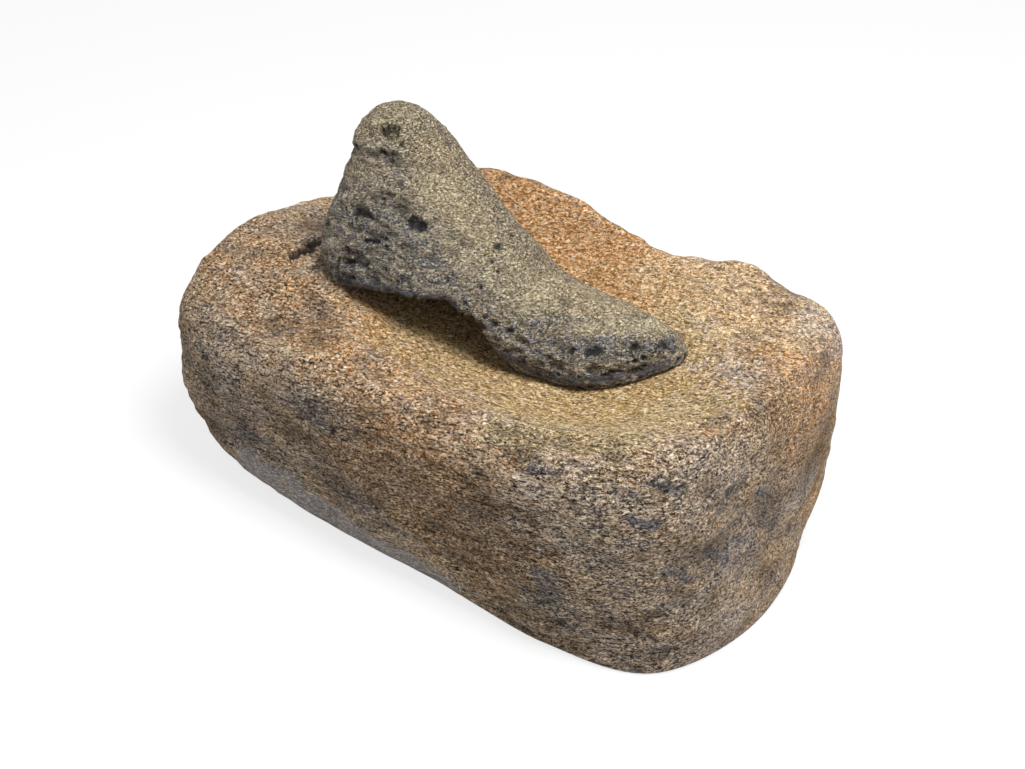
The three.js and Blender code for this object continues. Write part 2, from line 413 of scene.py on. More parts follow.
@dataclass
class StoneSurface:
    """A closed surface over rings of points, with a pole before the first ring and after the last.

    Attributes:
        rings: Points, by ring, step round the ring and axis.
        view: Camera whose pixels place the marks.
        flat_foot: True if the first pole lies on the ground and stays there.
        tones: Value of each tone at each point.
    """

    rings: Array
    view: PhotoView
    flat_foot: bool
    tones: dict[Tone, Array] = field(default_factory=dict)

    def normals(self) -> Array:
        """Outward directions: the step round the ring crossed with the step to the next ring.

        Returns:
            The direction at each point, at length 1.
        """
        around = np.roll(self.rings, -1, 1) - np.roll(self.rings, 1, 1)
        normal = np.cross(around, np.gradient(self.rings, axis=0))
        return normal / np.maximum(np.linalg.norm(normal, axis=-1, keepdims=True), TINY)

    def nearest(self, pixel: Array) -> Array:
        """Place that shows at a pixel: of the surface's points near it, the one nearest to the camera.

        Args:
            pixel: The pixel, counted right and down.

        Returns:
            The place.
        """
        pixels, depth = self.view.pixels(self.rings)
        off = np.linalg.norm(pixels - pixel, axis=-1)
        reach = max(PIXEL_REACH, off.min() + 1)
        return self.rings.reshape(-1, 3)[np.argmin(np.where(off < reach, depth, np.inf))]

    def share_of(self, mark: Mark) -> Array:
        """How near each point lies to the middle line of a mark.

        Distances are counted in half widths along the picture, half heights up it and the larger of the
        two towards the camera, and noise makes them uneven. The share is 1 less the square of the
        distance, where that is above 0.

        Args:
            mark: The mark.

        Returns:
            One share for each point.
        """
        halves = np.array([mark.across, mark.high, max(mark.across, mark.high)]) * MM / 2
        axes = np.stack(self.view.axes()) / halves[:, None]
        places = self.rings @ axes.T
        corners = [axes @ self.nearest(pixel) for pixel in np.reshape(mark.path, (-1, 2))]
        distance = np.full(places.shape[:-1], np.inf)
        for start, end in zip(corners, corners[1:] or corners):
            step = end - start
            along = np.clip((places - start) @ step / max(step @ step, TINY), 0, 1)
            distance = np.minimum(distance, np.linalg.norm(places - start - along[..., None] * step, axis=-1))
        close = distance < MARK_REACH
        uneven = np.ones(close.sum())
        for seed, (often, strong) in enumerate(MARK_LUMPS, int(mark.path[0])):
            uneven += strong * gradient_noise(places[close] * often, seed)
        share = np.zeros(distance.shape)
        share[close] = np.clip(1 - (distance[close] * uneven) ** 2, 0, 1)
        return share

    def pit_depth(self, pits: tuple[Pit, ...]) -> Array:
        """Depth of some pits: each pit's own times its share to a power below 1, which rounds its bottom."""
        return sum(pit.depth * MM * self.share_of(pit) ** PIT_ROUNDNESS for pit in pits)

    def stain(self, stains: tuple[Stain, ...]) -> None:
        """Sets every tone to the largest cover of its stains, or to 0 where it has none.

        Args:
            stains: Stains of all tones.
        """
        for tone in Tone:
            own = [stain for stain in stains if stain.tone is tone]
            covers = [stain.cover * STAIN_EDGE.of(self.share_of(stain)) for stain in own]
            self.tones[tone] = np.maximum.reduce([np.zeros(self.rings.shape[:-1]), *covers])

    def sink(self, depth: Array) -> None:
        """Moves each point into the stone by its depth, along the surface's own direction."""
        self.rings = self.rings - self.normals() * depth[..., None]

    def mesh(self, name: str) -> bpy.types.Object:
        """Makes the closed mesh: four-sided faces between the rings, and a fan of triangles round each pole.

        Args:
            name: Name of the piece.

        Returns:
            The piece's object, at the origin.
        """
        rows, steps = self.rings.shape[:2]
        first = np.zeros(3) if self.flat_foot else self.rings[0].mean(0)
        points = np.concatenate([[first], self.rings.reshape(-1, 3), [self.rings[-1].mean(0)]])
        number = 1 + np.arange(rows * steps).reshape(rows, steps)
        beside = np.roll(number, -1, 1)
        quads = np.stack([number[:-1], beside[:-1], beside[1:], number[1:]], -1)
        foot = np.stack([np.zeros(steps, int), beside[0], number[0]], -1)
        head = np.stack([np.full(steps, len(points) - 1), number[-1], beside[-1]], -1)
        loops = np.concatenate([quads.ravel(), foot.ravel(), head.ravel()]).astype(np.int32)
        sizes = np.repeat([4, 3], [(rows - 1) * steps, 2 * steps])
        mesh = bpy.data.meshes.new(name)
        mesh.vertices.add(len(points))
        mesh.vertices.foreach_set("co", points.astype(np.float32).ravel())
        mesh.loops.add(len(loops))
        mesh.loops.foreach_set("vertex_index", loops)
        mesh.polygons.add(len(sizes))
        mesh.polygons.foreach_set("loop_start", (np.cumsum(sizes) - sizes).astype(np.int32))
        mesh.polygons.foreach_set("use_smooth", np.ones(len(sizes), bool))
        mesh.update(calc_edges=True)
        for tone, values in self.tones.items():
            ends = [[values[0].mean()], values.ravel(), [values[-1].mean()]]
            layer = mesh.attributes.new(tone.value, "FLOAT", "POINT")
            layer.data.foreach_set("value", np.concatenate(ends).astype(np.float32))
        mesh.validate()
        return add_object(name, mesh)


# The basin, which shapes both stones

@dataclass(frozen=True)
class Basin:
    """Oval dish worn into the boulder: a surface of revolution about a level axis across the stone.

    Attributes:
        floor: Its lowest point.
        length: Length of the dish.
        width: Width of the dish.
        depth: Depth of the dish below its own rim.
        lean: How far it leans towards the near long side, in degrees.
        arc_end: Share of its radius at which an arc stops, so that far outside its height stays a number.
        rounds: How often the height is worked out anew from the radius.
    """

    floor: Triple
    length: float = 0.300
    width: float = 0.190
    depth: float = 0.026
    lean: float = 3.4
    arc_end: float = 0.95
    rounds: int = 6

    def frame(self) -> tuple[Array, Array, Array]:
        """Axis of the dish, which leans with it.

        Returns:
            The middle of the long profile's arc, and the directions up from the floor and along the axis.
        """
        lean = math.radians(self.lean)
        up = np.array([0, -math.sin(lean), math.cos(lean)])
        across = np.array([0, math.cos(lean), math.sin(lean)])
        return np.array(self.floor) + arc_radius(self.length, self.depth) * up, up, across

    def level(self, radius: Any, offset: Array) -> Array:
        """Height of an arc over its middle: the root of its radius squared less the offset squared."""
        return np.sqrt(radius**2 - np.minimum(np.abs(offset), self.arc_end * radius) ** 2)

    def radius(self, offset: Array) -> Array:
        """Radius at a distance along the axis: the long radius less the drop of the cross profile's arc."""
        cross = arc_radius(self.width, self.depth)
        return arc_radius(self.length, self.depth) - cross + self.level(cross, offset)

    def room(self, points: Array) -> Array:
        """Distance of points in the basin's air from its surface: radius less distance to the axis.

        Args:
            points: Points to measure from.

        Returns:
            One distance for each point, below 0 in the stone.
        """
        pivot, up, across = self.frame()
        away = points - pivot
        return self.radius(away @ across) - np.hypot(away[..., 0], away @ up)

    def height(self, x: Array, y: Array) -> Array:
        """Height of the basin's surface at places in plan.

        The radius depends on the height through the lean, so the height is found in rounds that start
        from the long radius below the pivot.

        Args:
            x: Places along the boulder.
            y: Places across it.

        Returns:
            The height at each place.
        """
        pivot, up, across = self.frame()
        from_x, from_y = x - pivot[0], y - pivot[1]
        from_z = np.full_like(x, -arc_radius(self.length, self.depth))
        for _ in range(self.rounds):
            radius = self.radius(from_y * across[1] + from_z * across[2])
            from_z = (-self.level(radius, from_x) - from_y * up[1]) / up[2]
        return pivot[2] + from_z


# Finishes

def srgb(code: str) -> tuple[float, float, float, float]:
    """Linear colour of an sRGB hex code.

    A channel up to 0.04045 is divided by 12.92, and a larger one is ((channel + 0.055) / 1.055) ^ 2.4.

    Args:
        code: The code, as # and six digits.

    Returns:
        Red, green and blue from 0 to 1, and alpha 1.
    """
    channels = [int(code[place : place + 2], 16) / 255 for place in (1, 3, 5)]
    linear = [c / 12.92 if c <= 0.04045 else ((c + 0.055) / 1.055) ** 2.4 for c in channels]
    return (linear[0], linear[1], linear[2], 1.0)


def add_node(
    tree: bpy.types.NodeTree,
    kind: str,
    inputs: dict[Any, Any] | tuple[Any, ...] = (),
    stops: dict[float, Any] | None = None,
    **settings: Any,
) -> Any:
    """Adds a node with its settings, values and links.

    Args:
        tree: Node tree that the node goes into.
        kind: Blender's name of the node's type, without the ShaderNode that they all start with.
        inputs: What each input gets, by the inputs' names or numbers or in order: the socket that feeds
            it, its value, or its colour as a hex code.
        stops: On a colour ramp, a hex code or a grey level for each place from 0 to 1.
        **settings: Properties of the node itself.

    Returns:
        The node's outputs.
    """
    node = tree.nodes.new("ShaderNode" + kind)
    for name, value in settings.items():
        setattr(node, name, value)
    for name, value in inputs.items() if isinstance(inputs, dict) else enumerate(inputs):
        if isinstance(value, bpy.types.NodeSocket):
            tree.links.new(value, node.inputs[name])
        else:
            node.inputs[name].default_value = srgb(value) if isinstance(value, str) else value
    if stops:
        elements = node.color_ramp.elements
        while len(elements) < len(stops):
            elements.new(0.5)
        for element, (place, tone) in zip(elements, sorted(stops.items())):
            element.position = place
            element.color = srgb(tone) if isinstance(tone, str) else (tone, tone, tone, 1.0)
    return node.outputs


def empty_tree(owner: bpy.types.Material | bpy.types.World) -> Adder:
    """Clears the nodes of a material or world.

    Args:
        owner: The material or world.

    Returns:
        The function that adds a node to it.
    """
    owner.use_nodes = True
    owner.node_tree.nodes.clear()
    return partial(add_node, owner.node_tree)


class Blend(Enum):
    """How a coat of colour goes on what lies under it."""

    COVER = "MIX"
    DARKEN = "MULTIPLY"


# A coat's share of the surface, its colour and how it goes on
Coat = tuple[Any, Any, Blend]
# Width of the step between the random numbers of cells without a spot and of cells with one
SPOT_STEP = 0.02


@dataclass(frozen=True)
class Layer:
    """A colour that lies over a stone's matrix where one of its tones is high.

    Attributes:
        tone: The tone, which is the share of the grains that the layer covers.
        colour: The colour, as a hex code.
        patchy: How much patches of noise raise and lower that share.
    """

    tone: Tone
    colour: str
    patchy: float = 1.0


class StoneFinish:
    """Surface of a volcanic stone: a matrix with layers over it, mineral grains, grit and a fine relief.

    The dark half of a stone's grains multiplies the matrix, so it keeps the matrix's own hue. The light
    half is feldspar, cream whatever lies round it, and takes the matrix's place by a share.
    """

    name: str
    # Colours of the matrix from one end of its slow variation to the other, and the layers over it from
    # the lowest up
    skin: tuple[str, ...]
    layers: tuple[Layer, ...]
    # Colours of the dirt with painted shade in hollows and pores, of the light grains and of the single
    # light crystals
    dirt_and_shade: str
    feldspar: str
    flecks: str
    # Sizes: of the slow variation, of the patches that break the layers, of the grit's largest lumps, of
    # the large grains, of the small ones, drawn no finer than the eye can part from a step away, and of
    # the dark dashes
    broad: float
    patch: float
    grit: float
    grain: float
    speck: float
    dash: float
    # How much shorter all these are along X, Y and Z, and by how many degrees the bedding rises towards X
    stretch: Triple
    bedding: float
    # Strength of the grains next to the grit's, and of the dashes that the bedding opens as
    grains: float
    dashes: float
    # Of the shader: its roughness, the height of its bumps, and its reflection, which pores weaken
    roughness: float
    relief: float
    gloss: float = 0.25
    # How far noise bends the patterns and how large its lumps are, in grains
    bend: float = 1.2
    bend_size: float = 2.0
    # Start and width of the part of the slow noise's range that the matrix's colours share
    spread: Pair = (0.36, 0.28)
    # Of a layer with a patchiness of 1: how much patches count, how sharply its grains start, and how
    # soon a rising tone lets it be there at all
    patch_strength: float = 3.5
    edge: float = 2.5
    presence: float = 8.0
    # Factor and term that spread the grit's noise over 0 to 1
    grit_range: Pair = (5.2, -2.1)
    # By a grain's random number: what it multiplies the colour by, how much feldspar shows, how high its
    # grit stands
    dark_grains: dict[float, str] = {0.0: "#7d766a", 0.15: "#b4b0a8", 0.35: "#ecebe8", 0.5: "#ffffff"}
    light_grains: dict[float, float] = {0.45: 0.0, 0.7: 0.11, 0.88: 0.45, 1.0: 0.85}
    grit_relief: dict[float, float] = {0.0: 0.0, 0.7: 1.0}
    # How much a large grain shows at each distance from its middle
    grain_middle: dict[float, float] = {0.25: 1.0, 0.6: 0.0}
    # Of pores and of crystals: size of their cells in grains, share of cells without one, radius in cells
    pores: Triple = (1.3, 0.45, 0.26)
    crystals: Triple = (2.6, 0.7, 0.2)
    # Share of a spot's radius at which it starts to fade, and its strength
    spot_fade: Pair = (0.7, 0.85)
    # How open the bedding is by its noise, how much closer it lies along X, Y and Z, and its dashes' colour
    open_beds: dict[float, float] = {0.55: 0.0, 0.67: 1.0}
    bed_squeeze: Triple = (0.5, 1.4, 2.0)
    dash_colour: str = "#5e5e68"
    # Size of the waves in the relief, in dashes
    wave: float = 1.5
    # Weights in the relief: of the distance from large grains, of open bedding, of the distance from
    # small grains, of grit and of the waves
    weights: tuple[float, ...] = (-0.4, -0.8, -0.25, 0.8, 4.0)

    def coordinates(self, add: Adder) -> Any:
        """Object coordinates, turned with the bedding, squeezed, and bent by noise so that no grain is plain.

        Args:
            add: Adds a node.

        Returns:
            The vector socket.
        """
        turned = {"Vector": add("TexCoord")["Object"], "Rotation": (0, math.radians(self.bedding), 0)}
        level = add("Mapping", turned, vector_type="POINT")[0]
        squeezed = add("Mapping", {"Vector": level, "Scale": self.stretch})[0]
        size = self.bend_size * self.grain
        noise = add("TexNoise", {"Vector": squeezed, "Scale": 1 / size, "Detail": 3.0})["Color"]
        centred = add("VectorMath", (noise, (0.5, 0.5, 0.5)), operation="SUBTRACT")[0]
        bend = (self.bend * self.grain,) * 3
        return add("VectorMath", (centred, bend, squeezed), operation="MULTIPLY_ADD")[0]

    def layer_coats(self, add: Adder, noise: Any, numbers: list[Any]) -> list[Coat]:
        """Coats of the layers.

        A layer covers the places whose random number is below its tone, which patches of noise raise and
        lower. So two layers mix grain by grain, as they do where a skin has partly weathered off.

        Args:
            add: Adds a node.
            noise: Noise of the patches.
            numbers: Random numbers from 0 to 1 over the stone, which the layers take in turn.

        Returns:
            The coats, from the lowest up.
        """
        coats = []
        patches = add("Math", (noise, 0.5), operation="SUBTRACT")[0]
        for turn, layer in enumerate(self.layers):
            tone = add("Attribute", attribute_name=layer.tone.value)["Fac"]
            patchy = self.patch_strength * layer.patchy
            cover = add("Math", (patches, patchy, tone), operation="MULTIPLY_ADD")[0]
            above = add("Math", (cover, numbers[turn % len(numbers)]), operation="SUBTRACT")[0]
            share = add("Math", (above, self.edge, 0.5), operation="MULTIPLY_ADD", use_clamp=True)[0]
            present = add("Math", (tone, self.presence), operation="MULTIPLY", use_clamp=True)[0]
            share = add("Math", (share, present), operation="MULTIPLY")[0]
            coats.append((share, layer.colour, Blend.COVER))
        return coats

    def material(self) -> bpy.types.Material:
        """Makes the material.

        The grit, the small grains and the large ones darken the matrix's colour or blend it with
        feldspar, each by its own random number. Then it gets dark pores, light crystals and dark dashes,
        and the hollows are darkened by dirt and painted shade. Where the stone is calm, all of this is
        weaker, and a veil hides the feldspar. Grit and grains also make the relief.

        Returns:
            The material.
        """
        made = bpy.data.materials.new(self.name)
        add = empty_tree(made)
        place = self.coordinates(add)
        flat = add("Mapping", {"Vector": place, "Scale": self.bed_squeeze})[0]
        calm, veil, hollow = (
            add("Attribute", attribute_name=tone.value)["Fac"] for tone in (Tone.CALM, Tone.VEIL, Tone.HOLLOW)
        )
        contrast, clear = (add("Math", (1.0, weaker), operation="SUBTRACT")[0] for weaker in (calm, veil))
        noises = (
            (place, self.broad, 5.0), (place, self.patch, 6.0),
            (flat, self.dash, 5.0), (flat, self.wave * self.dash, 5.0),
        )
        slow, patches, beds, waves = (
            add("TexNoise", {"Vector": where, "Scale": 1 / size, "Detail": detail, "Roughness": 0.6})["Fac"]
            for where, size, detail in noises
        )
        rough = {"Vector": place, "Scale": 1 / self.grit, "Detail": 3.0, "Roughness": 0.95}
        channels = add("SeparateColor", (add("TexNoise", rough)["Color"],))
        grit = [add("Math", (channel, *self.grit_range), operation="MULTIPLY_ADD")[0] for channel in channels]
        sizes = (self.grain, self.speck, self.pores[0] * self.grain, self.crystals[0] * self.grain)
        cells = [add("TexVoronoi", {"Vector": place, "Scale": 1 / size}) for size in sizes]
        grain, speck, pore, crystal = (add("SeparateColor", (cell["Color"],)) for cell in cells)
        grain_away, speck_away, pore_away, crystal_away = (cell["Distance"] for cell in cells)

        coats = self.layer_coats(add, patches, [grit[1], grit[2], grain[1]])
        near_middle = add("ValToRGB", (grain_away,), self.grain_middle)[0]
        near_middle = add("Math", (near_middle, self.grains), operation="MULTIPLY")[0]
        for weight, number in ((1.0, grit[0]), (self.grains, speck[0]), (near_middle, grain[0])):
            share = add("Math", (contrast, weight), operation="MULTIPLY")[0]
            coats.append((share, add("ValToRGB", (number,), self.dark_grains)[0], Blend.DARKEN))
            light = add("ValToRGB", (number,), self.light_grains)[0]
            for factor in (share, clear):
                light = add("Math", (light, factor), operation="MULTIPLY")[0]
            coats.append((light, self.feldspar, Blend.COVER))
        spots = (
            (self.pores, pore, pore_away, self.dirt_and_shade),
            (self.crystals, crystal, crystal_away, self.flecks),
        )
        fade, strength = self.spot_fade
        for (_, missing, radius), number, away, tone in spots:
            spot = add("ValToRGB", (number[0],), {missing: 0.0, missing + SPOT_STEP: strength})[0]
            near = add("ValToRGB", (away,), {fade * radius: 1.0, radius: 0.0})[0]
            for factor in (near, contrast, clear):
                spot = add("Math", (spot, factor), operation="MULTIPLY")[0]
            coats.append((spot, tone, Blend.COVER))
        open_beds = add("ValToRGB", (beds,), self.open_beds)[0]
        dark = add("Math", (open_beds, self.dashes), operation="MULTIPLY")[0]
        dark = add("Math", (dark, contrast), operation="MULTIPLY")[0]
        # The hollows' coat is dirt and partly painted shade, darker the deeper they are
        coats += [(dark, self.dash_colour, Blend.DARKEN), (hollow, self.dirt_and_shade, Blend.COVER)]

        start, width = self.spread
        skin = {start + width * number / (len(self.skin) - 1): tone for number, tone in enumerate(self.skin)}
        colour = add("ValToRGB", (slow,), skin)[0]
        for share, tone, blend in coats:
            over = {"Factor": share, 6: colour, 7: tone}
            colour = add("Mix", over, data_type="RGBA", blend_type=blend.value)[2]

        relief = 0.0
        lumps = add("ValToRGB", (grit[0],), self.grit_relief)[0]
        for height, weight in zip((grain_away, open_beds, speck_away, lumps, waves), self.weights):
            relief = add("Math", (height, weight, relief), operation="MULTIPLY_ADD")[0]
        relief = add("Math", (relief, contrast), operation="MULTIPLY")[0]
        bump = add("Bump", {"Strength": 1.0, "Distance": self.relief, "Height": relief})[0]
        shader = {"Base Color": colour, "Roughness": self.roughness, "IOR": 1.5, "Normal": bump}
        surface = add("BsdfPrincipled", {**shader, "Specular IOR Level": self.gloss})[0]
        add("OutputMaterial", {"Surface": surface})
        return made


class WeatheredAndesite(StoneFinish):
    """Andesite of a field boulder, weathered outside and worn by grinding inside the basin.

    Weathering has etched the feldspar and pyroxene grains apart, so that the skin is a coarse salt and
    pepper of cream, pink and near black with pores between. It is brown to mauve grey, blue-grey where it
    is freshly broken or damp, and orange where iron has come out. Grinding has cut the grains level and
    rubbed yellow meal into the pores, so the basin is smoother, yellower and of less contrast.
    """

    name = "weathered_andesite"
    skin = ("#c29663", "#caaa8d", "#c4b4b0")
    layers = (
        Layer(Tone.UMBER, "#ab7a3e", 0.6),
        Layer(Tone.SLATE, "#757680", 1.1),
        Layer(Tone.WORN, "#cba45e", 0.5),
        Layer(Tone.RUST, "#e09c50", 0.7),
        Layer(Tone.OCHRE, "#cbb076", 0.5),
        Layer(Tone.BARE, "#94949a", 0.2),
        Layer(Tone.PALE, "#f6daa8", 0.45),
    )
    # Dirt with painted shade in hollows and pores
    dirt_and_shade = "#2c2622"
    feldspar = "#f2dcbe"
    flecks = "#f3e8d2"
    broad = 32 * MM
    patch = 13 * MM
    grit = 1.8 * MM
    grain = 2.1 * MM
    speck = 0.8 * MM
    stretch = (0.68, 0.85, 1.4)
    bedding = 10
    roughness = 0.9
    relief = 1.05 * MM
    grains = 0.92
    dash = 4.0 * MM
    dashes = 0.8


class VesicularBasalt(StoneFinish):
    """Vesicular basalt, pecked to shape and handled.

    Gas bubbles left dark open pits, and pecking left a rough grey surface with fine cream feldspar
    needles. The top is paler and olive, because hands have worn it and meal dust lies on it. The
    undersides are darkened to blue-grey slate by how much they face down, which is painted shade.
    """

    name = "vesicular_basalt"
    skin = ("#c4b7aa", "#cabba6", "#d0bea2")
    layers = (
        Layer(Tone.HANDLED, "#8c7a5a", 0.5),
        Layer(Tone.RUST, "#947f4e", 0.4),
        Layer(Tone.SLATE, "#6c6e78", 0.7),
        Layer(Tone.OCHRE, "#c0a67b", 0.4),
        Layer(Tone.PALE, "#dccba4", 0.5),
    )
    # Dirt with painted shade in hollows and pores
    dirt_and_shade = "#26282d"
    feldspar = "#e6dcc4"
    flecks = "#d6cbae"
    broad = 26 * MM
    patch = 8 * MM
    grit = 1.4 * MM
    grain = 1.8 * MM
    speck = 0.8 * MM
    stretch = (0.72, 0.85, 1.3)
    bedding = 14
    roughness = 0.88
    relief = 1.0 * MM
    grains = 0.6
    dash = 3.0 * MM
    dashes = 0.4


# The boulder

@dataclass(frozen=True)
class Rib:
    """One rib of the boulder, in shares of half its length and width and of its height."""

    belly: Triple
    crest: Triple
    foot: Pair


@dataclass(frozen=True)
class Boulder:
    """The base stone: a loft through ribs, roughened, with the basin cut into its top."""

    view: PhotoView
    # Length, width and height that the ribs' shares follow
    size: Triple = (0.424, 0.260, 0.168)
    # The basin's lowest point: its depth under the stone's top, and its place in shares of the half sizes
    basin_sink: float = 0.052
    basin_place: Pair = (0.132, -0.077)
    rim_rounding: float = 0.008
    # Height of the unworn top over the middle, as a share of the height
    middle_height: float = 0.9
    # Power of the curves up the flank and over the shoulder: 1 gives a quarter ellipse
    flank_power: float = 0.8
    # Each row is a rib's belly, crest and foot, anticlockwise from the right far corner.
    ribs: tuple[Rib, ...] = tuple(Rib(*row) for row in (
        ((0.95, 0.7, 0.7), (0.9, 0.64, 0.9), (0.84, 0.55)),
        ((0.58, 0.97, 0.6), (0.56, 0.77, 0.96), (0.5, 0.64)),
        ((0.26, 0.92, 0.57), (0.25, 0.69, 0.94), (0.26, 0.64)),
        ((-0.06, 1, 0.58), (-0.07, 0.77, 0.99), (-0.02, 0.64)),
        ((-0.52, 0.95, 0.58), (-0.45, 0.78, 1), (-0.38, 0.52)),
        ((-0.92, 0.62, 0.62), (-0.81, 0.52, 0.81), (-0.61, 0.25)),
        ((-1.03, -0.18, 0.65), (-0.93, -0.14, 0.86), (-0.68, -0.21)),
        ((-0.91, -0.74, 0.52), (-0.76, -0.6, 0.74), (-0.57, -0.52)),
        ((-0.43, -0.95, 0.45), (-0.37, -0.75, 0.75), (-0.3, -0.7)),
        ((0.14, -0.98, 0.42), (0.12, -0.78, 0.77), (0.14, -0.75)),
        ((0.61, -0.98, 0.4), (0.57, -0.8, 0.81), (0.58, -0.86)),
        ((0.95, -0.75, 0.32), (0.84, -0.66, 0.85), (0.91, -0.75)),
        ((1.03, -0.06, 0.27), (0.9, -0.03, 0.88), (1.02, -0.1)),
    ))
    # Broad lumps, the height above the ground by which they have grown in, and lumps that the wear's edge
    # follows
    lumps: Lumps = Lumps(110, 4, (1, 2, 3))
    lump_free_height: float = 0.025
    wear_edge: Lumps = Lumps(34, 5, (41, 42))
    # Roughness, and how deep its middle and its highest tops lie under the smooth stone
    grain_lumps: Lumps = Lumps(44, 1.6, (10, 11, 12, 15), 0.62, (0.7, 0.85, 1.4))
    inset: float = 1.4 * MM
    least_inset: float = 0.1 * MM
    # Shallow scars of weathering and small holes, and how far the roughness bends each, in its heights
    scars: Bowls = Bowls(11, (4, 9), 0.8, 25, 0.16, (0.65, 0.8, 1.4))
    scar_bend: float = 0.6
    vesicles: Bowls = Bowls(9, (0.8, 2.4), 0.3, 21)
    vesicle_bend: float = 0.15
    # Counts of points round, up the flank, over the shoulder and across the top
    steps: tuple[int, int, int, int] = (496, 64, 40, 96)
    # How far the roughness has grown in by height, the dish and the worn tone by the depth that is cut
    # off, and the worn tone by how much the stone faces up
    ground: Fade = Fade(1 * MM, 14 * MM)
    dish: Fade = Fade(-4 * MM, 3 * MM)
    wear: Fade = Fade(-6 * MM, 20 * MM)
    wear_level: Fade = Fade(0.5, 0.9)
    # Dirt and painted shade in hollows, by depth
    hole_dirt_and_shade: Fade = Fade(0.9 * MM, 3 * MM)
    scar_dirt_and_shade: Fade = Fade(1.6 * MM, 3.6 * MM, 0.5)
    pit_dirt_and_shade: Fade = Fade(0.7 * MM, 3.4 * MM, 0.95)
    # Calm towards the far side, and livelier where the stone faces the near side, by facing and by place
    far_calm: Fade = Fade(-10 * MM, 60 * MM, 0.25)
    near_flank: Fade = Fade(0.05, -0.5, 0.3)
    near_side: Fade = Fade(-50 * MM, -80 * MM)
    # How much worn and bare stone calm the grain, how much slate and umber veil it, how much dish and
    # bare stone level the roughness, and the most that dirt and painted shade darken a hollow
    calming: Pair = (0.25, 0.5)
    veiling: Pair = (0.75, 0.3)
    levelling: Pair = (0.85, 0.5)
    most_dirt_and_shade: float = 0.95
    # Each row is a pit's path in pixels, and its width, height and depth in mm.
    pits: tuple[Pit, ...] = tuple(Pit(*row) for row in (
        ((325, 432), 9, 7, 2.5), ((345, 440), 7, 6, 2), ((290, 253, 296, 250), 7, 7, 3.5),
        ((301, 246, 307, 245), 9, 8, 4.5), ((312, 238, 323, 236), 11, 10, 5), ((305, 236), 6, 5, 2.5),
        ((505, 508), 6, 3.5, 1.5), ((512, 461), 4, 3, 1.5), ((525, 434), 5, 4, 1),
        ((698, 422, 724, 416), 10, 9, 2), ((334, 509), 4, 3, 1.2), ((820, 410), 8, 10, 2),
        ((285, 366, 287, 386), 11, 10, 1),
        ((262, 452, 297, 484, 337, 520, 389, 552, 441, 586), 26, 22, 1.3),
    ))
    # Each row is a stain's path in pixels, its width and height in mm, and its cover.
    stains: tuple[Stain, ...] = (
        *stains_of(
            Tone.SLATE,
            ((650, 540), 220, 150, 0.33), ((560, 600, 680, 640), 90, 70, 0.4), ((765, 520), 60, 90, 0.35),
            ((250, 440, 300, 480, 370, 520), 40, 40, 0.4), ((215, 400), 90, 100, 0.25),
            ((242, 434), 34, 26, 0.85), ((305, 412, 340, 424), 38, 30, 0.75),
            ((284, 366, 287, 390), 15, 15, 0.8), ((715, 412), 26, 14, 0.8),
            ((615, 492, 634, 498), 14, 8, 1.0), ((663, 484, 682, 490), 14, 7, 1.0),
            ((630, 520, 652, 527), 14, 8, 1.0), ((712, 554, 737, 564), 14, 9, 1.0),
            ((668, 576, 692, 583), 14, 8, 1.0), ((738, 537, 757, 542), 12, 7, 1.0),
            ((760, 494, 776, 499), 12, 8, 1.0), ((545, 580, 548, 604), 26, 14, 0.9),
            ((530, 466, 552, 471), 14, 7, 0.9), ((225, 320), 60, 60, 0.3),
        ),
        *stains_of(
            Tone.BARE,
            ((245, 465, 290, 495, 340, 530, 400, 570, 440, 590), 40, 36, 1.0),
        ),
        *stains_of(
            Tone.UMBER,
            ((360, 450, 430, 500, 500, 560), 110, 80, 0.9), ((795, 400), 70, 130, 0.7),
        ),
        *stains_of(
            Tone.RUST,
            ((480, 190, 600, 235, 650, 270), 110, 80, 0.85),
            ((250, 250, 280, 300, 330, 350), 110, 60, 0.35), ((805, 350), 60, 120, 0.4),
            ((325, 310, 345, 360, 400, 405, 470, 440), 80, 50, 0.5),
            ((650, 255, 760, 300), 80, 60, 0.7), ((708, 428), 14, 7, 1.0),
        ),
        *stains_of(
            Tone.OCHRE,
            ((520, 425, 620, 432, 690, 405), 60, 44, 0.8),
        ),
        *stains_of(
            Tone.PALE,
            ((285, 349), 9, 12, 1.0), ((265, 430, 297, 466, 337, 506, 389, 538, 441, 574), 7, 7, 0.6),
            ((265, 300, 281, 346, 289, 378), 10, 12, 0.3), ((700, 285, 770, 310), 100, 80, 0.4),
            ((600, 446, 660, 436, 705, 412), 12, 9, 0.3),
        ),
    )

    def basin(self) -> Basin:
        """The basin, at its place in the stone."""
        x, y = (share * side / 2 for share, side in zip(self.basin_place, self.size))
        return Basin((x, y, self.size[2] - self.basin_sink))

    def loft(self) -> Array:
        """Rings of the smooth stone from the foot up to the middle of its top.

        Closed curves run through the ribs' feet, bellies and crests. Up the flank, the share of belly
        over foot is a power of the sine, and the height is the belly's times 1 less that power of the
        cosine. The shoulder does the same from belly to crest, and the top runs straight in plan from the
        crest to the middle.

        Returns:
            Points by ring and step round it.
        """
        around, flank, shoulder, top = self.steps
        rows = np.array([(rib.belly, rib.crest, (*rib.foot, 0)) for rib in self.ribs]) * self.size / (2, 2, 1)
        shares = np.arange(around) / around
        belly, crest, foot = (closed_curve(rows[:, line], shares)[None] for line in range(3))
        middle = np.array([0, 0, self.middle_height * self.size[2]])

